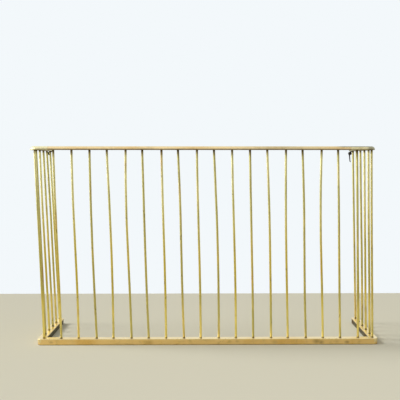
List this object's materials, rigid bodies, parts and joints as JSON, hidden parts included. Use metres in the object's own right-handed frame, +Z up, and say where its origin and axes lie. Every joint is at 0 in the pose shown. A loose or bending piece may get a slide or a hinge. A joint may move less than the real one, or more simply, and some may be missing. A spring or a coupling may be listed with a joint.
{
  "type": "nursery fire guard",
  "caption": "Free-standing three-sided fire guard: upright brass rods between a skirted base and a half-round top rail, with a swinging iron wall hook at each rear end.",
  "frame": {"origin": "on the floor, at the middle of the front skirt's iron bottom edge", "axes": "+X to the right as seen from the room, +Y back towards the wall, +Z up"},
  "size_m": [1.2479, 0.354, 0.707],
  "materials": {
    "base_brass": "worn satin brass sheet, dented, browned at the lower edge",
    "rail_brass": "rubbed brass sheet, bright on the crown, dull in places",
    "rod_brass": "drawn brass rod, soft sheen, olive and brown tarnish",
    "base_iron": "bare iron, browned",
    "rail_iron": "bare iron, browned",
    "hook_iron": "forged iron, near black, rubbed on its edges"
  },
  "bodies": {
    "root": {"base_frame": "base_iron", "base_skin": "base_brass", "rail_core": "rail_iron", "rail_skin_front": "rail_brass", "rail_skin_left": "rail_brass", "rail_skin_right": "rail_brass", "left_corner_rod": "rod_brass", "front_rod_1": "rod_brass", "front_rod_2": "rod_brass", "front_rod_3": "rod_brass", "front_rod_4": "rod_brass", "front_rod_5": "rod_brass", "front_rod_6": "rod_brass", "front_rod_7": "rod_brass", "front_rod_8": "rod_brass", "front_rod_9": "rod_brass", "front_rod_10": "rod_brass", "front_rod_11": "rod_brass", "front_rod_12": "rod_brass", "front_rod_13": "rod_brass", "front_rod_14": "rod_brass", "front_rod_15": "rod_brass", "front_rod_16": "rod_brass", "front_rod_17": "rod_brass", "front_rod_18": "rod_brass", "right_corner_rod": "rod_brass", "left_rod_1": "rod_brass", "left_rod_2": "rod_brass", "left_rod_3": "rod_brass", "left_rod_4": "rod_brass", "left_rod_5": "rod_brass", "right_rod_1": "rod_brass", "right_rod_2": "rod_brass", "right_rod_3": "rod_brass", "right_rod_4": "rod_brass", "right_rod_5": "rod_brass", "lug_left": "hook_iron", "lug_right": "hook_iron", "lug_rivets": "hook_iron", "hook_washer_left": "hook_iron", "hook_washer_right": "hook_iron", "hook_rivet_left": "hook_iron", "hook_rivet_right": "hook_iron"},
    "left_hook": {"hook_left": "hook_iron"},
    "right_hook": {"hook_right": "hook_iron"}
  },
  "joints": [
    {"name": "right_hook_swing", "type": "hinge", "parent": "root", "child": "right_hook", "pos_m": [0.579, 0.31815, 0.685], "axis": [1, 0, 0], "range_deg": [-80, 100]},
    {"name": "left_hook_swing", "type": "hinge", "parent": "root", "child": "left_hook", "pos_m": [-0.616, 0.31815, 0.685], "axis": [1, 0, 0], "range_deg": [-4, 176]}
  ]
}
